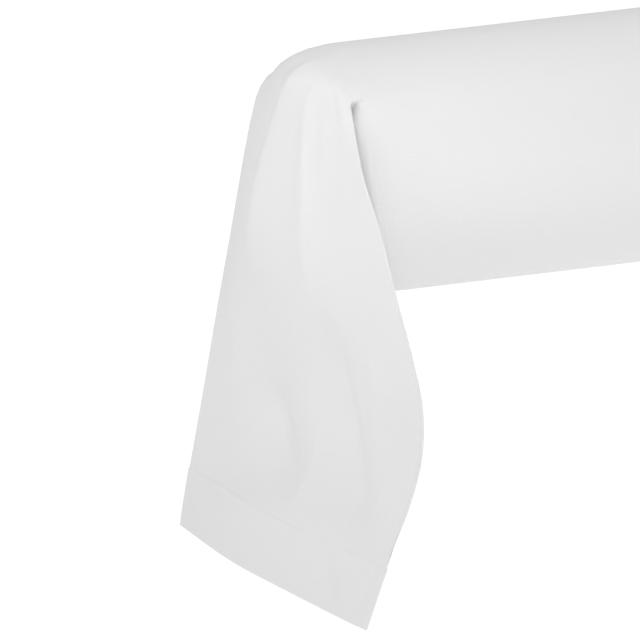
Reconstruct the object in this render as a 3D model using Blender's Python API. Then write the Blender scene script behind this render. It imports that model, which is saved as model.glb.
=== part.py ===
"""A bolster pillowcase: a long cotton tube, open at both ends, on a round bolster.

The bolster lies along X. Past each of its rounded ends the empty tube kinks like a bent
hose and hangs straight down, two layers thick, to a hemmed open mouth. Metres, +Z up.
The origin is in the middle of the flat underside on which the bolster lies.

The case is one closed solid, filled along the bolster and hollow in both hanging ends.
Each end is worked out as (out, y, up): out past the bolster's end, y across it, up from
its axis. The front is at -y.
"""

from math import pi, radians

import bpy
import numpy as np

# Driving sizes.
BOLSTER_RADIUS = 0.125
BOLSTER_LENGTH = 0.900
FLAT_DROP = 0.1195  # from the bolster's axis down to the flat that it lies on
CLOTH = 0.002  # thickness of the hanging cloth
HOLLOW = 0.020  # over both layers of a hanging end, in their middle

# The rounded end. The case covers the bolster's cap below and runs over the shoulder above,
# up to the pinch on either side, which is where the side folds of the hanging end begin.
CAP_OUT = -0.016
CAP_RADIUS = 0.075
ROUND_START = -0.062
SHOULDER_OUT = 0.019
SHOULDER_RADIUS = 0.070
ROUNDNESS = 2.5
PINCH_ANGLE = radians(42)  # from the bolster's top
PINCH_TURN = radians(29.7)  # of 90 degrees round the shoulder, where the pinch lies
TOP_TURN = radians(61)  # and where the outer layer leaves the shoulder, at its middle
PINCH_SHARPNESS = 1.5  # how closely these lines draw in towards the pinch
KINK_OUT = -0.008  # the middle of the kink's inner line
KINK_UP = 0.010
JOIN_FROM = 0.6  # of the way to the pinch, where the cap starts to rise to the shoulder

# The hanging end from the pinch to the hem: how far out its outer layer lies in the middle
# and at the front and back folds, and how far to the front and back those folds lie.
HANG_COLUMNS = ("up", "out_middle", "out_front", "front", "out_back", "back")
HANG_ROWS = (
    (0.089, 0.0150, -0.0170, 0.080, -0.0170, 0.080),
    (0.058, 0.0178, -0.0100, 0.115, -0.0120, 0.116),
    (0.026, 0.0188, -0.0030, 0.146, -0.0138, 0.142),
    (-0.023, 0.0192, -0.0030, 0.180, -0.0148, 0.164),
    (-0.065, 0.0195, -0.0050, 0.206, -0.0132, 0.176),
    (-0.115, 0.0200, -0.0155, 0.213, -0.0072, 0.183),
    (-0.165, 0.0205, -0.0275, 0.215, -0.0003, 0.188),
    (-0.213, 0.0212, -0.0330, 0.215, 0.0062, 0.193),
    (-0.254, 0.0225, -0.0300, 0.213, 0.0118, 0.197),
    (-0.300, 0.0245, -0.0140, 0.212, 0.0180, 0.202),
    (-0.350, 0.0275, 0.0055, 0.213, 0.0246, 0.208),
    (-0.385, 0.0293, 0.0190, 0.214, 0.0290, 0.212),
    (-0.413, 0.0305, 0.0305, 0.215, 0.0305, 0.215),
)
HANG_TABLE = np.array(HANG_ROWS)[::-1]
FRONT_BEND = 2.2  # how late the layers turn back towards the front fold
BACK_BEND = 3.0
FOLD_BLUNTNESS = 4  # how far across the two layers stay apart before they meet in the folds

# Sections round the hanging tube: the heights of its side folds, and of the middle of its
# outer and inner layers. They start aslant, below the kink, and end level, at the hem.
SECTION_COLUMNS = ("folds", "outer", "inner")
SECTION_ROWS = (
    (0.072, 0.088, -0.012),
    (0.052, 0.066, -0.035),
    (0.026, 0.038, -0.060),
    (-0.010, 0.002, -0.085),
    (-0.050, -0.042, -0.110),
    (-0.095, -0.090, -0.140),
    (-0.145, -0.142, -0.175),
    (-0.195, -0.194, -0.212),
    (-0.240, -0.240, -0.250),
    (-0.285, -0.285, -0.290),
    (-0.330, -0.330, -0.332),
    (-0.372, -0.374, -0.374),
    (-0.409, -0.413, -0.413),
)
HOLLOW_FROM = 2  # the first section with a hollow inside it

# Ridges (height above 0) and troughs (below 0) of the outer layer, each along a soft curve
# through three places on the cloth, as (out, y, up), and fading out at both its ends.
CREASE_COLUMNS = ("top", "middle", "foot", "half_width", "height")
LEFT_CREASES = (
    ((-0.006, 0.014, 0.114), (0.018, 0.028, 0.051), (0.015, 0.088, -0.040), 0.009, -0.0055),
    ((-0.014, -0.006, 0.118), (0.017, 0.008, 0.066), (0.012, 0.123, -0.126), 0.011, 0.0035),
    ((0.004, -0.028, 0.100), (0.018, -0.036, 0.025), (0.020, -0.014, -0.110), 0.011, -0.0045),
    ((-0.002, -0.050, 0.095), (0.014, -0.054, 0.045), (0.018, -0.050, -0.030), 0.010, 0.0025),
    ((-0.030, -0.048, 0.113), (-0.013, -0.070, 0.095), (-0.002, -0.094, 0.055), 0.007, -0.0040),
    ((-0.044, -0.060, 0.110), (-0.031, -0.078, 0.094), (-0.022, -0.088, 0.078), 0.007, -0.0030),
    ((0.020, -0.030, -0.205), (0.022, -0.035, -0.260), (0.024, -0.052, -0.305), 0.022, -0.0040),
    ((0.008, -0.105, -0.160), (0.006, -0.122, -0.225), (0.003, -0.149, -0.285), 0.026, -0.0050),
    ((0.003, -0.140, -0.265), (0.001, -0.178, -0.308), (0.000, -0.208, -0.334), 0.014, -0.0070),
    ((0.010, -0.120, -0.285), (0.007, -0.155, -0.318), (0.004, -0.188, -0.345), 0.013, 0.0040),
    ((0.027, 0.080, -0.350), (0.026, -0.020, -0.350), (0.020, -0.116, -0.342), 0.016, 0.0030),
)
RIGHT_CREASES = (
    ((-0.010, 0.030, 0.110), (0.017, 0.038, 0.058), (0.014, 0.095, -0.050), 0.010, -0.0050),
    ((-0.016, 0.010, 0.116), (0.018, 0.020, 0.050), (0.016, 0.070, -0.110), 0.012, 0.0035),
    ((0.002, -0.018, 0.103), (0.018, -0.022, 0.030), (0.020, 0.004, -0.130), 0.011, -0.0045),
    ((-0.004, -0.044, 0.098), (0.014, -0.056, 0.040), (0.016, -0.070, -0.060), 0.012, 0.0030),
    ((-0.028, -0.052, 0.112), (-0.012, -0.072, 0.094), (-0.001, -0.098, 0.050), 0.007, -0.0040),
    ((0.020, 0.040, -0.190), (0.021, 0.028, -0.245), (0.025, 0.030, -0.310), 0.024, -0.0045),
    ((0.009, -0.090, -0.150), (0.007, -0.118, -0.220), (0.010, -0.120, -0.300), 0.026, -0.0050),
    ((0.006, -0.120, -0.290), (0.004, -0.160, -0.322), (0.006, -0.200, -0.340), 0.014, -0.0060),
    ((0.027, 0.120, -0.345), (0.028, 0.020, -0.362), (0.024, -0.080, -0.358), 0.018, 0.0035),
)
CREASE_STEPS = 33  # places along a crease

ROUND_SHARES = (0.0, 0.2, 0.4, 0.6, 0.8, 1.0)  # sections from the straight part to the kink
RIM_SHARE = 0.6  # of them, the one at which the cap's rim meets its flat disc
STRAIGHT_SHARES = (-0.67, -0.33, 0.0, 0.33, 0.67)
OUTER_STEPS = 52  # faces across the outer layer
INNER_STEPS = 26
CROWDING = 1.3  # how much closer they lie at the folds


def through(places, values, at):
    """Read a smooth curve through the values, which lie at rising places."""
    slopes = np.gradient(values, places)
    i = np.clip(np.searchsorted(places, at) - 1, 0, len(places) - 2)
    step = places[i + 1] - places[i]
    t = np.clip((at - places[i]) / step, 0, 1)
    leaving = (1 + 2 * t) * (1 - t) ** 2 * values[i] + t * (1 - t) ** 2 * step * slopes[i]
    arriving = t**2 * (3 - 2 * t) * values[i + 1] - t**2 * (1 - t) * step * slopes[i + 1]
    return leaving + arriving


def hang(column, up):
    return through(HANG_TABLE[:, 0], HANG_TABLE[:, HANG_COLUMNS.index(column)], up)


def across(steps):
    """Places across a layer from -1, the front fold, to 1, the back one, closest at the folds."""
    t = np.linspace(-1, 1, steps + 1)
    return np.sign(t) * (1 - (1 - np.abs(t)) ** CROWDING)


def points(out, y, up):
    return np.stack(np.broadcast_arrays(out, y, up), axis=-1)


def round_bolster(out, radius, angle):
    """Points at an angle from the bolster's top towards the front."""
    return points(out, -radius * np.sin(angle), radius * np.cos(angle))


def rounded(turn, end_out, end_radius):
    """(out, radius) on a rounded end, at a turn from its side (0) to its disc (90 degrees)."""
    power = 2 / ROUNDNESS
    out = ROUND_START + (end_out - ROUND_START) * np.sin(turn) ** power
    radius = end_radius + (BOLSTER_RADIUS - end_radius) * np.cos(turn) ** power
    return out, radius


def over_the_shoulder(v, share):
    """The outer layer between the straight part (share 0) and the pinch (share 1)."""
    turn = share * (TOP_TURN + (PINCH_TURN - TOP_TURN) * np.abs(v) ** PINCH_SHARPNESS)
    return round_bolster(*rounded(turn, SHOULDER_OUT, SHOULDER_RADIUS), -PINCH_ANGLE * v)


def kink_line(v):
    """Where the case folds inwards under the shoulder, from pinch to pinch."""
    pinch = over_the_shoulder(np.sign(v), 1.0)
    share = np.abs(v) ** PINCH_SHARPNESS
    out = KINK_OUT + (pinch[..., 0] - KINK_OUT) * share
    up = KINK_UP + (pinch[..., 2] - KINK_UP) * share
    return points(out, pinch[..., 1] * np.abs(v), up)


def round_the_cap(v, share):
    """The lower layer between the straight part and the kink: round the rim, up the disc."""
    angle = pi + (pi - PINCH_ANGLE) * v
    turn = pi / 2 * min(share / RIM_SHARE, 1.0)
    out, radius = rounded(turn, CAP_OUT, CAP_RADIUS)
    shoulder_out, shoulder_radius = rounded(share * PINCH_TURN, SHOULDER_OUT, SHOULDER_RADIUS)
    pull = np.clip((np.abs(v) - JOIN_FROM) / (1 - JOIN_FROM), 0, 1) ** 2
    out = out + (shoulder_out - out) * pull
    radius = radius + (shoulder_radius - radius) * pull
    on_cap = round_bolster(out, radius, angle)
    climb = max(0.0, share - RIM_SHARE) / (1 - RIM_SHARE)
    return on_cap + (kink_line(v) - on_cap) * climb


def hanging(v, up_folds, up_middle, depth):
    """A layer of the hanging end. depth is how far its middle lies behind the outer layer."""
    share = np.abs(v)
    up = up_middle + (up_folds - up_middle) * share**2
    middle = hang("out_middle", up)
    to_front = (hang("out_front", up) - middle) * share**FRONT_BEND
    to_back = (hang("out_back", up) - middle) * share**BACK_BEND
    out = middle + np.where(v < 0, to_front, to_back) - depth * np.sqrt(1 - share**FOLD_BLUNTNESS)
    y = np.where(v < 0, hang("front", up), hang("back", up)) * v
    return points(out, y, up)


def ring(outer, inner):
    """One closed ring: the outer layer from front to back, then the inner one back again."""
    return np.concatenate([outer[:-1], inner[:0:-1]])


def end_rings():
    """Rings from the straight part over the end and down to the hem."""
    v_outer = across(OUTER_STEPS)
    v_inner = across(INNER_STEPS)
    rings = [
        ring(over_the_shoulder(v_outer, share), round_the_cap(v_inner, share))
        for share in ROUND_SHARES
    ]
    rings += [
        ring(hanging(v_outer, folds, outer, 0.0), hanging(v_inner, folds, inner, HOLLOW))
        for folds, outer, inner in SECTION_ROWS
    ]
    return np.array(rings)


def normals(rings):
    """Outward directions at every point of a stack of rings."""
    around = np.roll(rings, -1, axis=1) - np.roll(rings, 1, axis=1)
    along = np.gradient(rings, axis=0)
    facing = np.cross(along, around)
    return facing / np.linalg.norm(facing, axis=-1, keepdims=True)


def creased(rings, creases):
    """The rings with every crease raised from the outer layer or sunk into it."""
    outer = rings[:, : OUTER_STEPS + 1]
    outward = normals(rings)[:, : OUTER_STEPS + 1]
    t = np.linspace(0, 1, CREASE_STEPS)[:, None]
    raised = np.zeros(outer.shape[:2])
    for top, middle, foot, half_width, height in creases:
        start, halfway, end = np.array((top, middle, foot))
        path = start * (1 - t) * (1 - 2 * t) + halfway * 4 * t * (1 - t) + end * t * (2 * t - 1)
        gaps = np.linalg.norm(outer[:, :, None] - path, axis=-1)
        fade = np.sqrt(np.sin(pi * t[:, 0]))[gaps.argmin(axis=-1)]
        raised += height * fade * np.exp(-((gaps.min(axis=-1) / half_width) ** 2))
    folded = rings.copy()
    folded[:, : OUTER_STEPS + 1] += raised[..., None] * outward
    return folded


def placed(rings, side):
    """Rings of an end, moved to the left (-1) or right (1) end of the bolster."""
    out, y, up = np.moveaxis(rings, -1, 0)
    return points(side * (BOLSTER_LENGTH / 2 - CAP_OUT + out), y, up + FLAT_DROP)


def whole_end(side, creases):
    """Rings from the straight part down the outside of a hanging end and up inside it."""
    rings = creased(end_rings(), creases)
    inside = (rings - CLOTH * normals(rings))[len(ROUND_SHARES) + HOLLOW_FROM :]
    rings[: len(ROUND_SHARES), :, 2] = np.maximum(rings[: len(ROUND_SHARES), :, 2], -FLAT_DROP)
    return [*placed(rings, side), *placed(inside[::-1], side)]


def all_rings():
    """Every ring in order: in the left mouth, over the bolster and in the right mouth."""
    left = whole_end(-1, LEFT_CREASES)
    straight = [left[0] * (-share, 1, 1) for share in STRAIGHT_SHARES]
    return left[::-1] + straight + whole_end(1, RIGHT_CREASES)


def closing_faces(first):
    """Faces across the hollow's end, between the outer and inner layers of one ring."""
    v_outer = across(OUTER_STEPS)
    v_inner = across(INNER_STEPS)
    count = OUTER_STEPS + INNER_STEPS
    outer = [first + i for i in range(OUTER_STEPS + 1)]
    inner = [first + (count - i) % count for i in range(INNER_STEPS + 1)]
    faces = []
    i = j = 0
    while i < OUTER_STEPS or j < INNER_STEPS:
        step_outer = j == INNER_STEPS or (i < OUTER_STEPS and v_outer[i + 1] <= v_inner[j + 1])
        if step_outer:
            corners = (outer[i], outer[i + 1], inner[j])
            i += 1
        else:
            corners = (outer[i], inner[j + 1], inner[j])
            j += 1
        if len(set(corners)) == 3:
            faces.append(corners)
    return faces


def case_mesh():
    rings = all_rings()
    count = OUTER_STEPS + INNER_STEPS
    faces = closing_faces(0)
    for k in range(len(rings) - 1):
        for i in range(count):
            j = (i + 1) % count
            faces.append((k * count + j, k * count + i, (k + 1) * count + i, (k + 1) * count + j))
    faces += [tuple(reversed(face)) for face in closing_faces((len(rings) - 1) * count)]
    mesh = bpy.data.meshes.new("pillowcase")
    mesh.from_pydata([tuple(p) for p in np.concatenate(rings)], [], faces)
    mesh.validate()
    mesh.shade_smooth()
    return mesh


def cotton():
    material = bpy.data.materials.new("white cotton percale")
    material.use_nodes = True
    shader = material.node_tree.nodes["Principled BSDF"]
    shader.inputs["Base Color"].default_value = (0.86, 0.86, 0.87, 1.0)
    shader.inputs["Roughness"].default_value = 0.85
    shader.inputs["Metallic"].default_value = 0.0
    return material


def main():
    for leftover in list(bpy.data.objects):
        bpy.data.objects.remove(leftover)
    case = bpy.data.objects.new("pillowcase", case_mesh())
    case.data.materials.append(cotton())
    bpy.context.collection.objects.link(case)


main()
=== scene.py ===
"""The look of the bolster pillowcase: thin white cotton percale, drawn tight over a round
bolster and hanging empty past both its ends.

Each end is worked out as (out, y, up): out past the bolster's end, y across it with the
front at -y, up from the bolster's axis. Metres. Along the tube run rings of columns: first
the outer layer of the hanging end from its front fold to its back fold, then the inner one.
"""

from math import pi, radians

import bpy
import numpy as np
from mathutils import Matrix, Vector


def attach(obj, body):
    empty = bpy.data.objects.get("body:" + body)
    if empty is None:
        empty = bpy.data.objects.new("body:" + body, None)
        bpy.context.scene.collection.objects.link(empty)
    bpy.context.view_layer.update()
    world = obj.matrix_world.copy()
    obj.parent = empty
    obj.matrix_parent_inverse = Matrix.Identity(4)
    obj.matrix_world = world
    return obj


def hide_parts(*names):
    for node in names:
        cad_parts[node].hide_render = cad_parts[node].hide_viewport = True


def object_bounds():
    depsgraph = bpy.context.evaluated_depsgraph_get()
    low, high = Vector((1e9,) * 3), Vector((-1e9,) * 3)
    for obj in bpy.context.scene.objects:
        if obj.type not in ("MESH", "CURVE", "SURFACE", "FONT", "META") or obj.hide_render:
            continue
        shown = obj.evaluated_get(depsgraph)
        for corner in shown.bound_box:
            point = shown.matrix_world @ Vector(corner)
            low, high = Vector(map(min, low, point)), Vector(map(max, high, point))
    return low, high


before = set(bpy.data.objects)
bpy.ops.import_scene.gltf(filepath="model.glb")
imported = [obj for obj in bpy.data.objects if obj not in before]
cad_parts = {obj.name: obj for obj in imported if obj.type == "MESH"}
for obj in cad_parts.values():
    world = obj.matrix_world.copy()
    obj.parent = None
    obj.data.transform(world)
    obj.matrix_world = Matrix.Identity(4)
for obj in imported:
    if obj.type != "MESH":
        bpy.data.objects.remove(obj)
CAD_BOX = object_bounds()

# The bolster, and the rounded end that the cloth runs over. The pinches are where the tube
# folds flat; the kink runs from one to the other between the bolster's end and the hanging end.
BOLSTER_RADIUS = 0.125
BOLSTER_LENGTH = 0.900
FLAT_DROP = 0.1195  # from the bolster's axis down to the flat that it lies on
CAP_OUT = -0.016  # where the bolster's length ends
CAP_TIP = -0.012  # where the cloth over its end lies, before it slants in
CAP_SLANT = 0.086  # how steeply it slants in from the pinches towards the underside
CAP_SLANT_POWER = 2.4
CAP_SLANT_MOST = 0.045  # and how far in it gets at most
CAP_RADIUS = 0.075
ROUND_START = -0.062
SHOULDER_OUT = 0.019
SHOULDER_RADIUS = 0.070
TOP_ROUNDNESS = 2.5
PINCH_ROUNDNESS = 5.0
CAP_ROUNDNESS = 8.0
PINCH_ANGLE = radians(42)
PINCH_TURN = radians(14.2)
BACK_PINCH_TURN = radians(29.7)
TOP_TURN = radians(61)
PINCH_SHARPNESS = 1.5
PINCH_NEARNESS = 3  # the higher, the nearer to the pinch the shoulder gets square
KINK_OUT = -0.008
KINK_UP = 0.010
JOIN_FROM = 0.90
RIM_SHARE = 0.6

# The hanging end from the pinch to the hem: how far out its outer layer lies in the middle
# and at the front and back folds, how far to the front and back those folds lie, and how far
# across it, as a share, it starts to turn back towards each fold.
HOLLOW = 0.020
HANG_COLUMNS = (
    "up", "out_middle", "out_front", "front", "out_back", "back", "front_turn", "back_turn"
)
HANG_ROWS = (
    (0.089, 0.0150, -0.0150, 0.083, -0.0170, 0.093, 0.25, 0.25),
    (0.058, 0.0178, -0.0050, 0.121, -0.0120, 0.1205, 0.20, 0.30),
    (0.026, 0.0188, -0.0048, 0.138, -0.0138, 0.142, 0.20, 0.35),
    (-0.023, 0.0192, -0.0114, 0.163, -0.0148, 0.164, 0.25, 0.42),
    (-0.065, 0.0188, -0.0137, 0.184, -0.0132, 0.176, 0.25, 0.50),
    (-0.115, 0.0150, -0.0213, 0.199, -0.0072, 0.183, 0.22, 0.56),
    (-0.165, 0.0050, -0.0306, 0.208, -0.0003, 0.188, 0.18, 0.60),
    (-0.213, -0.0020, -0.0341, 0.213, 0.0062, 0.193, 0.16, 0.60),
    (-0.254, -0.0030, -0.0290, 0.213, 0.0118, 0.197, 0.16, 0.60),
    (-0.300, 0.0050, -0.0140, 0.212, 0.0180, 0.202, 0.18, 0.60),
    (-0.350, 0.0190, 0.0065, 0.214, 0.0246, 0.208, 0.30, 0.60),
    (-0.385, 0.0283, 0.0200, 0.215, 0.0290, 0.212, 0.50, 0.70),
    (-0.413, 0.0305, 0.0305, 0.215, 0.0305, 0.215, 0.60, 0.70),
)
HANG_TABLE = np.array(HANG_ROWS)[::-1]  # with up rising
TURN_SOFTNESS = 0.12
FOLD_SHARPNESS = 3.0

# How high each ring of the hanging end lies: at its folds, and in the middle of its outer and
# of its inner layer.
SECTION_ROWS = (
    (0.072, 0.088, -0.012),
    (0.052, 0.066, -0.035),
    (0.026, 0.038, -0.060),
    (-0.010, 0.002, -0.085),
    (-0.050, -0.042, -0.110),
    (-0.095, -0.090, -0.140),
    (-0.145, -0.142, -0.175),
    (-0.195, -0.194, -0.212),
    (-0.240, -0.240, -0.250),
    (-0.285, -0.285, -0.290),
    (-0.330, -0.330, -0.332),
    (-0.372, -0.374, -0.374),
    (-0.409, -0.413, -0.413),
)

# Ridges (height above 0) and troughs of the cloth: top, middle, foot, half width, height, lean,
# power. A lean above 0 makes a crease wider towards the front and steeper towards the back. The
# lower its power, the sharper its line.
LEFT_CREASES = (
    ((-0.014, -0.012, 0.119), (0.014, -0.005, 0.086), (0.016, 0.016, 0.040), 0.0180, 0.0085, 0.4, 1.4),
    ((0.016, 0.002, 0.066), (0.016, 0.038, -0.015), (0.015, 0.088, -0.115), 0.0310, 0.0150, 0.5, 1.4),
    ((0.002, -0.037, 0.098), (0.014, -0.051, 0.030), (0.017, -0.047, -0.110), 0.0130, 0.0085, -0.1, 1.4),
    ((-0.008, -0.060, 0.098), (0.003, -0.072, 0.066), (0.010, -0.080, 0.020), 0.0100, 0.0045, 0.0, 1.6),
    ((-0.022, -0.053, 0.111), (-0.010, -0.080, 0.086), (-0.003, -0.108, 0.052), 0.0050, 0.0034, 0.0, 1.8),
    ((-0.040, -0.050, 0.114), (-0.031, -0.069, 0.101), (-0.023, -0.090, 0.082), 0.0050, 0.0028, 0.0, 1.8),
    ((0.015, 0.140, -0.120), (0.010, 0.142, -0.230), (0.020, 0.110, -0.345), 0.0330, 0.0070, 0.2, 1.8),
    ((0.001, 0.075, -0.230), (0.002, 0.045, -0.285), (0.009, -0.020, -0.318), 0.0220, -0.0180, 0.2, 1.7),
    ((-0.001, -0.010, -0.215), (-0.003, -0.028, -0.262), (0.001, -0.058, -0.292), 0.0150, 0.0025, 0.0, 1.8),
    ((0.008, -0.085, -0.130), (-0.006, -0.082, -0.250), (0.006, -0.205, -0.362), 0.0340, -0.0210, -0.2, 1.8),
    ((-0.006, -0.145, -0.150), (-0.018, -0.152, -0.245), (0.002, -0.200, -0.350), 0.0300, 0.0090, -0.3, 1.5),
    ((0.024, 0.170, -0.352), (0.019, 0.020, -0.350), (0.010, -0.150, -0.344), 0.0200, 0.0060, 0.0, 2.0),
    ((0.008, -0.115, -0.316), (0.006, -0.150, -0.328), (0.002, -0.195, -0.346), 0.0160, 0.0060, 0.0, 1.7),
    ((0.028, 0.090, -0.330), (0.030, 0.070, -0.390), (0.030, 0.060, -0.450), 0.1100, 0.0080, 0.0, 2.0),
    ((0.018, -0.080, -0.345), (0.024, -0.112, -0.376), (0.028, -0.130, -0.405), 0.0200, -0.0070, 0.2, 1.8),
)
RIGHT_CREASES = (
    ((-0.014, 0.020, 0.119), (0.014, 0.014, 0.086), (0.016, -0.006, 0.040), 0.0180, 0.0080, -0.4, 1.4),
    ((0.016, 0.010, 0.066), (0.016, -0.022, -0.010), (0.015, -0.070, -0.115), 0.0330, 0.0130, -0.5, 1.4),
    ((0.002, 0.034, 0.099), (0.014, 0.050, 0.030), (0.017, 0.052, -0.090), 0.0150, 0.0075, 0.1, 1.5),
    ((-0.008, 0.056, 0.100), (0.003, 0.070, 0.066), (0.011, 0.078, 0.020), 0.0100, 0.0040, 0.0, 1.6),
    ((-0.022, -0.050, 0.111), (-0.010, -0.076, 0.086), (-0.003, -0.104, 0.052), 0.0050, 0.0030, 0.0, 1.8),
    ((0.014, -0.125, -0.120), (0.000, -0.120, -0.230), (0.012, -0.100, -0.330), 0.0350, 0.0070, -0.2, 1.8),
    ((0.001, 0.050, -0.200), (-0.002, 0.020, -0.260), (0.006, -0.030, -0.305), 0.0280, -0.0100, -0.2, 1.8),
    ((0.014, 0.090, -0.130), (0.001, 0.110, -0.250), (0.016, 0.185, -0.345), 0.0380, -0.0110, 0.1, 1.7),
    ((-0.002, -0.020, -0.230), (0.002, 0.010, -0.290), (0.014, 0.060, -0.330), 0.0200, 0.0050, 0.0, 1.8),
    ((0.024, 0.160, -0.352), (0.019, 0.020, -0.348), (0.010, -0.150, -0.344), 0.0180, 0.0040, 0.0, 1.6),
    ((0.028, -0.060, -0.330), (0.030, -0.050, -0.390), (0.030, -0.040, -0.450), 0.1000, 0.0070, 0.0, 2.0),
)
FOLD_SHARES = (0.3, 0.8)  # between these, the inner layer begins to go along with the outer one
CREASE_STEPS = 41
CREASE_ENDS = 0.7  # the lower, the shorter the ends over which a crease runs out
MOST_SLIDE = 0.5  # of a step, from the nearest step of a path to a point's place on it

# The mesh.
ROUND_SHARES = np.linspace(0, 1, 19)
OUTER_STEPS = 178
INNER_STEPS = 72
CROWDING = 1.35
END_RINGS = 104
BODY_RINGS = 36
INSIDE_STEP = 3  # every third ring is repeated on the inner face of the cloth,
INSIDE_ALL = 0.072  # and every ring that lies this near to a hem
CLOTH = 0.0007
THREAD_PITCH = 0.00034
HEM_DEPTH = 0.064
HEM_MARGIN = 0.0005  # so that the ring at its depth still counts as hem
HEM_RINGS = (
    0.0004, 0.002, 0.007, 0.015, 0.024, 0.033, 0.042,
    0.051, 0.058, 0.061, 0.0625, 0.0640, 0.0660, 0.069,
)
HEM_GAP = 0.004  # between the last free ring and the first one of the hem
FLAT_SIZE = (0.860, 2.000)  # round the tube and along it
SHARP_EDGE = radians(70)

# The sewing: the row that holds each hem, and the seam along the back.
STITCH_ROW = 0.0625
STITCH_LENGTH = 0.0022
STITCH_PITCH = 0.0026
STITCH_RADIUS = 0.00025
STITCH_SIDES = 6
STITCH_SHARES = (0.0, 0.2, 0.5, 0.8, 1.0)
STITCH_SIZES = (0.3, 0.85, 1.0, 0.85, 0.3)
GROOVE_DEPTH = 0.0003
GROOVE_WIDTH = 0.0016
SEAM_DEPTH = 0.0009


def through(places, values, at):
    """Read a smooth curve through the values, which lie at rising places."""
    slopes = np.gradient(values, places, axis=0)
    at = np.asarray(at, float)
    i = np.clip(np.searchsorted(places, at) - 1, 0, len(places) - 2)
    spread = at.shape + (1,) * (values.ndim - 1)
    step = (places[i + 1] - places[i]).reshape(spread)
    t = np.clip((at - places[i]).reshape(spread) / step, 0, 1)
    leaving = (1 + 2 * t) * (1 - t) ** 2 * values[i] + t * (1 - t) ** 2 * step * slopes[i]
    arriving = t**2 * (3 - 2 * t) * values[i + 1] - t**2 * (1 - t) * step * slopes[i + 1]
    return leaving + arriving


def hang(column, up):
    """Read a column of the hanging end's table at these heights."""
    return through(HANG_TABLE[:, 0], HANG_TABLE[:, HANG_COLUMNS.index(column)], up)


def across(steps):
    """Places across a layer from -1, the front fold, to 1, the back one, closest at the folds."""
    t = np.linspace(-1, 1, steps + 1)
    return np.sign(t) * (1 - (1 - np.abs(t)) ** CROWDING)


def points(out, y, up):
    """Put three coordinates together, any of which may be one number for all the points."""
    return np.stack(np.broadcast_arrays(out, y, up), axis=-1)


def round_bolster(out, radius, angle):
    """Points round the axis, at an angle from the top towards the front."""
    return points(out, -radius * np.sin(angle), radius * np.cos(angle))


def rounded(turn, end_out, end_radius, roundness):
    """Follow the bolster's rounded end: how far out and how far from the axis it lies."""
    power = 2 / roundness
    out = ROUND_START + (end_out - ROUND_START) * np.sin(turn) ** power
    radius = end_radius + (BOLSTER_RADIUS - end_radius) * np.cos(turn) ** power
    return out, radius


def pinch_shape(v):
    """How far the shoulder turns to the pinch on this side, and how square it is there."""
    turn = np.where(v < 0, PINCH_TURN, BACK_PINCH_TURN)
    return turn, np.where(v < 0, PINCH_ROUNDNESS, TOP_ROUNDNESS)


def over_the_shoulder(v, share):
    """The outer half of a ring, which runs on over the top of the bolster's end."""
    pinch_turn, pinch_roundness = pinch_shape(v)
    turn = share * (TOP_TURN + (pinch_turn - TOP_TURN) * np.abs(v) ** PINCH_SHARPNESS)
    roundness = TOP_ROUNDNESS + (pinch_roundness - TOP_ROUNDNESS) * np.abs(v) ** PINCH_NEARNESS
    out, radius = rounded(turn, SHOULDER_OUT, SHOULDER_RADIUS, roundness)
    return round_bolster(out, radius, -PINCH_ANGLE * v)


def kink_line(v):
    """Where the inner layer leaves the bolster's end, from one pinch to the other."""
    pinch = over_the_shoulder(np.sign(v), 1.0)
    share = np.abs(v) ** PINCH_SHARPNESS
    out = KINK_OUT + (pinch[..., 0] - KINK_OUT) * share
    up = KINK_UP + (pinch[..., 2] - KINK_UP) * share
    return points(out, pinch[..., 1] * np.abs(v), up)


def round_the_cap(v, share):
    """The inner half of a ring, drawn over the rim of the end and then up it to the kink."""
    angle = pi + (pi - PINCH_ANGLE) * v
    turn = pi / 2 * min(share / RIM_SHARE, 1.0)
    out, radius = rounded(turn, CAP_TIP, CAP_RADIUS, CAP_ROUNDNESS)
    pinch_turn, pinch_roundness = pinch_shape(v)
    shoulder_out, shoulder_radius = rounded(
        share * pinch_turn, SHOULDER_OUT, SHOULDER_RADIUS, pinch_roundness
    )
    pull = np.clip((np.abs(v) - JOIN_FROM) / (1 - JOIN_FROM), 0, 1) ** 2
    out = out + (shoulder_out - out) * pull
    radius = radius + (shoulder_radius - radius) * pull
    slant = CAP_SLANT * (1 - np.abs(v)) ** CAP_SLANT_POWER
    out = out - np.minimum(slant, CAP_SLANT_MOST)
    on_cap = round_bolster(out, radius, angle)
    climb = max(0.0, share - RIM_SHARE) / (1 - RIM_SHARE)
    return on_cap + (kink_line(v) - on_cap) * climb


def soft_step(x):
    """Nearly 0 below 0 and nearly x above it."""
    return (x + np.sqrt(x**2 + TURN_SOFTNESS**2)) / 2


def turned(share, start):
    """0 up to the start, and from there nearly straight to 1 at the fold."""
    low = soft_step(-start)
    return (soft_step(share - start) - low) / (soft_step(1 - start) - low)


def hanging(v, up_folds, up_middle, depth):
    """One layer of the hanging end, sunk in its middle by the depth."""
    share = np.abs(v)
    up = up_middle + (up_folds - up_middle) * share**2
    middle = hang("out_middle", up)
    to_front = (hang("out_front", up) - middle) * turned(share, hang("front_turn", up))
    to_back = (hang("out_back", up) - middle) * turned(share, hang("back_turn", up))
    out = middle + np.where(v < 0, to_front, to_back)
    out = out - depth * (1 - share**FOLD_SHARPNESS)
    y = np.where(v < 0, hang("front", up), hang("back", up)) * v
    return points(out, y, up)


def ring(outer, inner):
    """Join an outer and an inner layer, from the front fold round and back to it."""
    return np.concatenate([outer[:-1], inner[:0:-1]])


def lengths_along(rings):
    """How far along the tube each ring lies, as the mean over all columns."""
    steps = np.linalg.norm(np.diff(rings, axis=0), axis=-1).mean(axis=1)
    return np.concatenate([[0.0], np.cumsum(steps)])


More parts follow.
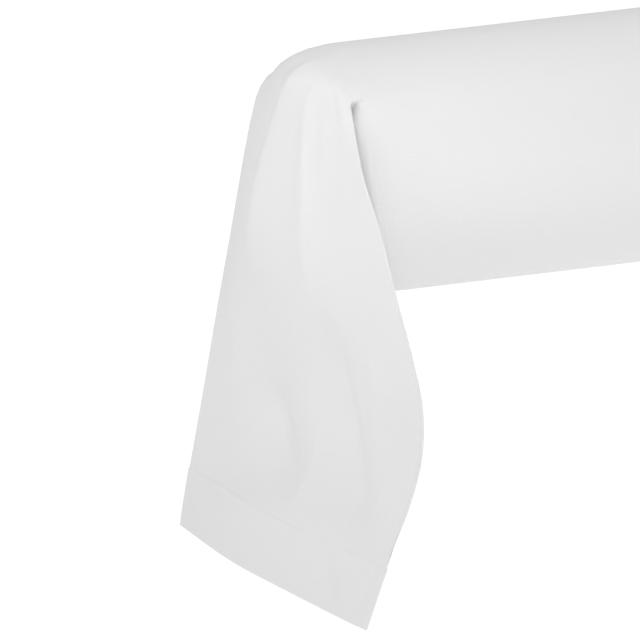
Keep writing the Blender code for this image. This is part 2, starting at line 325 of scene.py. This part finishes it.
def end_rings():
    """Fine rings from the straight part over the end and down to the hem."""
    v_outer = across(OUTER_STEPS)
    v_inner = across(INNER_STEPS)
    rings = [
        ring(over_the_shoulder(v_outer, share), round_the_cap(v_inner, share))
        for share in ROUND_SHARES
    ]
    rings += [
        ring(hanging(v_outer, folds, outer, 0.0), hanging(v_inner, folds, inner, HOLLOW))
        for folds, outer, inner in SECTION_ROWS
    ]
    rings = np.array(rings)
    places = lengths_along(rings)
    free = places[-1] - HEM_RINGS[-1] - HEM_GAP
    at = [*np.linspace(0, free, END_RINGS), *(places[-1] - np.array(HEM_RINGS[::-1])), places[-1]]
    return through(places, rings, at), np.array(at) <= places[len(ROUND_SHARES) - 1]


def normals(rings):
    """Outward directions at every point of a stack of rings."""
    around = np.roll(rings, -1, axis=1) - np.roll(rings, 1, axis=1)
    along = np.gradient(rings, axis=0)
    facing = np.cross(along, around)
    return facing / np.linalg.norm(facing, axis=-1, keepdims=True)


def raised_by(rings, outward, creases):
    """How far the creases raise every point."""
    t = np.linspace(0, 1, CREASE_STEPS)[:, None]
    raised = np.zeros(rings.shape[:2])
    for top, middle, foot, half_width, height, lean, power in creases:
        start, halfway, end = np.array((top, middle, foot))
        path = start * (1 - t) * (1 - 2 * t) + halfway * 4 * t * (1 - t) + end * t * (2 * t - 1)
        direction = np.gradient(path, axis=0)
        step = np.linalg.norm(direction, axis=-1, keepdims=True)
        direction = direction / step
        nearest = np.linalg.norm(rings[:, :, None] - path, axis=-1).argmin(axis=-1)
        offset = rings - path[nearest]
        slide = (offset * direction[nearest]).sum(axis=-1) / step[nearest, 0]
        slide = np.clip(slide, -MOST_SLIDE, MOST_SLIDE)
        offset = offset - (slide * step[nearest, 0])[..., None] * direction[nearest]
        to_right = -(np.cross(direction[nearest], offset) * outward).sum(axis=-1)
        width = half_width * (1 + lean * np.sign(to_right))
        along = np.clip(t[nearest, 0] + slide / (CREASE_STEPS - 1), 0, 1)
        gap = np.linalg.norm(offset, axis=-1) / width
        raised += height * np.sin(pi * along) ** CREASE_ENDS * np.exp(-(gap**power))
    return raised


def creased(rings, on_bolster, creases):
    """The rings, creased all round on the bolster and in their outer layer where they hang.

    Near the folds the inner layer goes along with the outer one.
    """
    outward = normals(rings)
    moved = raised_by(rings, outward, creases)[..., None] * outward
    v_outer = across(OUTER_STEPS)
    v_inner = across(INNER_STEPS)[INNER_STEPS:0:-1]
    share = np.clip((np.abs(v_inner) - FOLD_SHARES[0]) / (FOLD_SHARES[1] - FOLD_SHARES[0]), 0, 1)
    beside = np.abs(v_outer[:, None] - v_inner).argmin(axis=0)
    hangs = ~on_bolster
    outer = moved[hangs][:, beside % rings.shape[1]]
    moved[hangs, OUTER_STEPS:] = outer * share[:, None]
    return rings + moved


def placed(rings, side):
    """Rings of an end, moved to the left (-1) or right (1) end of the bolster."""
    out, y, up = np.moveaxis(rings, -1, 0)
    return points(side * (BOLSTER_LENGTH / 2 - CAP_OUT + out), y, up + FLAT_DROP)


def whole_end(side, creases):
    """An end with its creases, in its place, and flat along the bolster's underside."""
    rings, on_bolster = end_rings()
    rings = creased(rings, on_bolster, creases)
    rings[on_bolster, :, 2] = np.maximum(rings[on_bolster, :, 2], -FLAT_DROP)
    return placed(rings, side)


def all_rings():
    """Every ring from the left mouth over the bolster to the right mouth."""
    left = whole_end(-1, LEFT_CREASES)[::-1]
    right = whole_end(1, RIGHT_CREASES)
    share = np.linspace(0, 1, BODY_RINGS + 2)[1:-1, None, None]
    straight = left[-1] + (right[0] - left[-1]) * share
    return np.concatenate([left, straight, right])


def sewn(rings):
    """The rings drawn in along the hems' stitch rows and along the seam."""
    outward = -normals(rings)
    places = lengths_along(rings)
    from_hem = np.minimum(places, places[-1] - places)
    depth = GROOVE_DEPTH * np.exp(-(((from_hem - STITCH_ROW) / GROOVE_WIDTH) ** 2))
    depth = np.repeat(depth[:, None], rings.shape[1], axis=1)
    depth[:, OUTER_STEPS] += SEAM_DEPTH
    return rings - depth[..., None] * outward


def stitches(rings, hem_end):
    """One row of lockstitch round the tube, each stitch a short rounded thread."""
    outward = -normals(rings)
    places = lengths_along(rings)
    row = STITCH_ROW if hem_end == "left" else places[-1] - STITCH_ROW
    line = through(places, rings, row)
    line = np.vstack([line, line[:1]])
    raised = through(places, outward, row)
    raised = np.vstack([raised, raised[:1]])
    run = np.concatenate([[0.0], np.cumsum(np.linalg.norm(np.diff(line, axis=0), axis=-1))])
    turns = np.arange(STITCH_SIDES) * 2 * pi / STITCH_SIDES
    verts = []
    faces = []
    for start in np.arange(0, run[-1] - STITCH_PITCH, STITCH_PITCH):
        at = start + STITCH_LENGTH * np.array(STITCH_SHARES)
        middle = np.stack([np.interp(at, run, line[:, k]) for k in range(3)], axis=-1)
        up = np.stack([np.interp(at, run, raised[:, k]) for k in range(3)], axis=-1)
        up = up / np.linalg.norm(up, axis=-1, keepdims=True)
        beside = np.cross(middle[-1] - middle[0], up)
        beside = beside / np.linalg.norm(beside, axis=-1, keepdims=True)
        first = len(verts)
        for k, size in enumerate(STITCH_SIZES):
            radius = size * STITCH_RADIUS
            round_it = np.outer(np.cos(turns), beside[k]) + np.outer(np.sin(turns), up[k])
            verts += [tuple(p) for p in middle[k] + radius * round_it]
        for k in range(len(STITCH_SIZES) - 1):
            low = first + k * STITCH_SIDES
            for i in range(STITCH_SIDES):
                j = (i + 1) % STITCH_SIDES
                high = low + STITCH_SIDES
                faces.append((low + i, low + j, high + j, high + i))
        faces.append(tuple(range(first, first + STITCH_SIDES))[::-1])
        faces.append(tuple(range(len(verts) - STITCH_SIDES, len(verts))))
    mesh = bpy.data.meshes.new("hem_stitches")
    mesh.from_pydata(verts, [], faces)
    mesh.shade_smooth()
    mesh.update()
    return mesh


def case_mesh(rings):
    """The cloth as one closed sheet, its inner face a little way in from the outer one."""
    outward = -normals(rings)
    count = rings.shape[1]
    places = lengths_along(rings)
    from_hem = np.minimum(places, places[-1] - places)
    thick = np.where(from_hem < HEM_DEPTH + HEM_MARGIN, 2 * CLOTH, CLOTH)
    kept = [k for k in range(len(rings)) if k % INSIDE_STEP == 0 or from_hem[k] < INSIDE_ALL]
    inside = (rings - thick[:, None, None] * outward)[kept]
    stack = np.concatenate([rings, inside[::-1]])
    along = np.concatenate([places, places[kept][::-1]]) / places[-1]
    hem = rings[-1]
    steps = np.linalg.norm(np.diff(np.vstack([hem, hem[:1]]), axis=0), axis=-1)
    around = np.concatenate([[0.0], np.cumsum(steps)]) / steps.sum()
    faces = []
    uvs = []
    total = len(stack)
    for k in range(total):
        j = (k + 1) % total
        for i in range(count):
            n = (i + 1) % count
            faces.append((k * count + i, k * count + n, j * count + n, j * count + i))
            uvs += [
                (around[i], along[k]),
                (around[i + 1], along[k]),
                (around[i + 1], along[j]),
                (around[i], along[j]),
            ]
    mesh = bpy.data.meshes.new("cotton_case")
    mesh.from_pydata([tuple(p) for p in stack.reshape(-1, 3)], [], faces)
    flat = mesh.uv_layers.new(name="flat")
    flat.data.foreach_set("uv", np.array(uvs, np.float32).ravel())
    mesh.shade_smooth()
    mesh.set_sharp_from_angle(angle=SHARP_EDGE)
    mesh.update()
    return mesh


# The cloth's surface: how the threads' unevenness is stretched round the tube and along it, how
# much of the fine height the threads and the weave make up, and the waves to a metre.
WARP_STRETCH = (1400.0, 60.0, 1.0)
WEFT_STRETCH = (40.0, 3200.0, 1.0)
THREAD_SHARE = 0.8
WEAVE_SHARE = 0.5
WIDE_WAVES = 9.0
SMALL_WAVES = 55.0
SMALL_SHARE = 0.16
ROUGHNESS_WAVES = 30.0


def percale():
    """White cotton percale: a plain weave of fine, slightly uneven threads, nearly smooth."""
    material = bpy.data.materials.new("white_percale")
    material.use_nodes = True
    nodes = material.node_tree.nodes
    links = material.node_tree.links
    shader = nodes["Principled BSDF"]

    def node(kind, **settings):
        made = nodes.new(kind)
        for name, value in settings.items():
            setattr(made, name, value)
        return made

    def value(kind, *terms):
        made = node("ShaderNodeMath", operation=kind)
        for socket, term in zip(made.inputs, terms):
            if isinstance(term, float):
                socket.default_value = term
            else:
                links.new(term, socket)
        return made.outputs["Value"]

    def stretched(scale):
        made = node("ShaderNodeMapping")
        made.inputs["Scale"].default_value = scale
        links.new(flat.outputs["UV"], made.inputs["Vector"])
        return made.outputs["Vector"]

    def noise(vector, scale, detail):
        made = node("ShaderNodeTexNoise")
        made.inputs["Scale"].default_value = scale
        made.inputs["Detail"].default_value = detail
        links.new(vector, made.inputs["Vector"])
        return made.outputs["Fac"]

    flat = node("ShaderNodeUVMap", uv_map="flat")
    metres = stretched((FLAT_SIZE[0], FLAT_SIZE[1], 1.0))
    place = node("ShaderNodeSeparateXYZ")
    links.new(metres, place.inputs["Vector"])
    turn = pi / THREAD_PITCH
    over = value("SINE", value("MULTIPLY", place.outputs["X"], turn))
    under = value("SINE", value("MULTIPLY", place.outputs["Y"], turn))
    weave = value("MULTIPLY", over, under)

    warp = noise(stretched(WARP_STRETCH), 1.0, 1.0)
    weft = noise(stretched(WEFT_STRETCH), 1.0, 1.0)
    threads = value("ADD", warp, weft)
    height = value("MULTIPLY_ADD", threads, THREAD_SHARE, value("MULTIPLY", weave, WEAVE_SHARE))
    wide = noise(metres, WIDE_WAVES, 2.0)
    small = value("MULTIPLY", noise(metres, SMALL_WAVES, 3.0), SMALL_SHARE)
    pressed = value("ADD", wide, small)
    soft = node("ShaderNodeBump")
    soft.inputs["Strength"].default_value = 1.0
    soft.inputs["Distance"].default_value = 0.0016
    links.new(pressed, soft.inputs["Height"])
    fine = node("ShaderNodeBump")
    fine.inputs["Strength"].default_value = 0.6
    fine.inputs["Distance"].default_value = 0.00006
    links.new(height, fine.inputs["Height"])
    links.new(soft.outputs["Normal"], fine.inputs["Normal"])
    links.new(fine.outputs["Normal"], shader.inputs["Normal"])

    tone = node("ShaderNodeMapRange")
    tone.inputs["From Min"].default_value = 0.6
    tone.inputs["From Max"].default_value = 1.4
    tone.inputs["To Min"].default_value = 0.0
    tone.inputs["To Max"].default_value = 1.0
    links.new(threads, tone.inputs["Value"])
    colour = node("ShaderNodeMix", data_type="RGBA")
    colour.inputs["A"].default_value = (0.845, 0.846, 0.850, 1.0)
    colour.inputs["B"].default_value = (0.872, 0.872, 0.870, 1.0)
    links.new(tone.outputs["Result"], colour.inputs["Factor"])
    links.new(colour.outputs["Result"], shader.inputs["Base Color"])
    rough = node("ShaderNodeMapRange")
    rough.inputs["To Min"].default_value = 0.84
    rough.inputs["To Max"].default_value = 0.95
    links.new(noise(metres, ROUGHNESS_WAVES, 2.0), rough.inputs["Value"])
    links.new(rough.outputs["Result"], shader.inputs["Roughness"])

    shader.inputs["Specular IOR Level"].default_value = 0.2
    shader.inputs["Sheen Weight"].default_value = 0.12
    shader.inputs["Sheen Roughness"].default_value = 0.5
    return material


def sewing_thread():
    """White polyester-cotton thread, a little smoother than the cloth."""
    material = bpy.data.materials.new("white_thread")
    material.use_nodes = True
    nodes = material.node_tree.nodes
    links = material.node_tree.links
    shader = nodes["Principled BSDF"]
    place = nodes.new("ShaderNodeTexCoord")
    twist = nodes.new("ShaderNodeTexNoise")
    twist.inputs["Scale"].default_value = 1500.0
    links.new(place.outputs["Object"], twist.inputs["Vector"])
    colour = nodes.new("ShaderNodeMix")
    colour.data_type = "RGBA"
    colour.inputs["A"].default_value = (0.80, 0.80, 0.80, 1.0)
    colour.inputs["B"].default_value = (0.88, 0.88, 0.87, 1.0)
    links.new(twist.outputs["Fac"], colour.inputs["Factor"])
    links.new(colour.outputs["Result"], shader.inputs["Base Color"])
    bump = nodes.new("ShaderNodeBump")
    bump.inputs["Distance"].default_value = 0.00005
    links.new(twist.outputs["Fac"], bump.inputs["Height"])
    links.new(bump.outputs["Normal"], shader.inputs["Normal"])
    shader.inputs["Roughness"].default_value = 0.7
    return material


def add(name, mesh, material):
    """Put a mesh into the scene with this material."""
    piece = bpy.data.objects.new(name, mesh)
    bpy.context.collection.objects.link(piece)
    mesh.materials.append(material)
    return piece


# The place that each lamp lights, where it stands from there, how far, and its size, watts and
# spread in degrees.
SOFT_BOXES = (
    ("soft_box", (-0.40, -0.08, 0.20), (-0.42, -0.78, 0.46), 1.3, 0.4, 0.155, 40),
    ("side_box", (-0.47, -0.03, -0.05), (-0.95, -0.20, 0.22), 1.2, 0.8, 3.6, 180),
    ("fill_box", (-0.20, -0.10, 0.05), (0.15, -0.52, -0.84), 2.0, 1.2, 7.9, 180),
    ("top_box", (-0.20, -0.10, 0.20), (0.25, -0.52, 0.82), 2.0, 1.2, 10.5, 180),
)

# The floor.
FLOOR_REACH = 60.0
FLOOR_GAP = 0.004  # below the lowest point of the solid


def soft_box(name, lit, towards, distance, size, energy, spread):
    """A round lamp that stands this way and this far from the place it lights."""
    lamp = bpy.data.lights.new(name, "AREA")
    lamp.shape = "DISK"
    lamp.size = size
    lamp.energy = energy
    lamp.spread = radians(spread)
    box = bpy.data.objects.new(name, lamp)
    box.location = lit + distance * towards.normalized()
    box.rotation_euler = towards.to_track_quat("Z", "Y").to_euler()
    bpy.context.collection.objects.link(box)


def studio():
    """A white floor that lights nothing, white surroundings, brighter below, and the lamps.

    The first lamp shines on the pinch from the front left, the others from the left, from below
    in front and from above in front.
    """
    mesh = bpy.data.meshes.new("floor")
    far = FLOOR_REACH
    low = CAD_BOX[0][2] - FLOOR_GAP
    corners = [(-far, -far, low), (far, -far, low), (far, far, low), (-far, far, low)]
    mesh.from_pydata(corners, [], [(0, 1, 2, 3)])
    material = bpy.data.materials.new("pale_floor")
    material.use_nodes = True
    shader = material.node_tree.nodes["Principled BSDF"]
    shader.inputs["Base Color"].default_value = (0.1, 0.1, 0.1, 1.0)
    shader.inputs["Roughness"].default_value = 1.0
    shader.inputs["Emission Color"].default_value = (1.0, 1.0, 1.0, 1.0)
    shader.inputs["Emission Strength"].default_value = 0.98
    floor = add("floor", mesh, material)
    floor.visible_diffuse = False
    floor.visible_shadow = False

    world = bpy.data.worlds.new("studio")
    world.use_nodes = True
    nodes = world.node_tree.nodes
    links = world.node_tree.links
    place = nodes.new("ShaderNodeTexCoord")
    split = nodes.new("ShaderNodeSeparateXYZ")
    level = nodes.new("ShaderNodeMapRange")
    level.inputs["From Min"].default_value = -1.0
    level.inputs["From Max"].default_value = 1.0
    level.inputs["To Min"].default_value = 0.75
    level.inputs["To Max"].default_value = 0.55
    links.new(place.outputs["Generated"], split.inputs["Vector"])
    links.new(split.outputs["Z"], level.inputs["Value"])
    links.new(level.outputs["Result"], nodes["Background"].inputs["Strength"])
    nodes["Background"].inputs["Color"].default_value = (1.0, 1.0, 1.0, 1.0)
    bpy.context.scene.world = world

    for name, lit, towards, distance, size, energy, spread in SOFT_BOXES:
        soft_box(name, Vector(lit), Vector(towards), distance, size, energy, spread)


# The photograph's view: 25 degrees to the left and 15 above, from far away.
AIM = Vector((-0.4638, -0.0420, -0.0192))
TO_CAMERA = Vector((-0.4082, -0.8754, 0.2588))
CAMERA_DISTANCE = 24.0


def camera():
    """Look at the left end from far away, nearly without perspective."""
    lens = bpy.data.cameras.new("camera")
    lens.sensor_width = 36.0
    lens.lens = 1367.0
    lens.clip_end = 200.0
    seen = bpy.data.objects.new("camera", lens)
    seen.location = AIM + CAMERA_DISTANCE * TO_CAMERA
    seen.rotation_euler = TO_CAMERA.to_track_quat("Z", "Y").to_euler()
    bpy.context.collection.objects.link(seen)
    bpy.context.scene.camera = seen


def main():
    """Build the case and its stitches, and set the studio round them."""
    rings = sewn(all_rings())
    case = add("cotton_case", case_mesh(rings), percale())
    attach(case, "root")
    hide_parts("pillowcase")
    thread = sewing_thread()
    rows = [add(end + "_hem_stitches", stitches(rings, end), thread) for end in ("left", "right")]
    for row in rows:
        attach(row, "root")
    studio()
    camera()
    settings = bpy.context.scene.view_settings
    settings.view_transform = "Standard"
    settings.look = "None"


main()
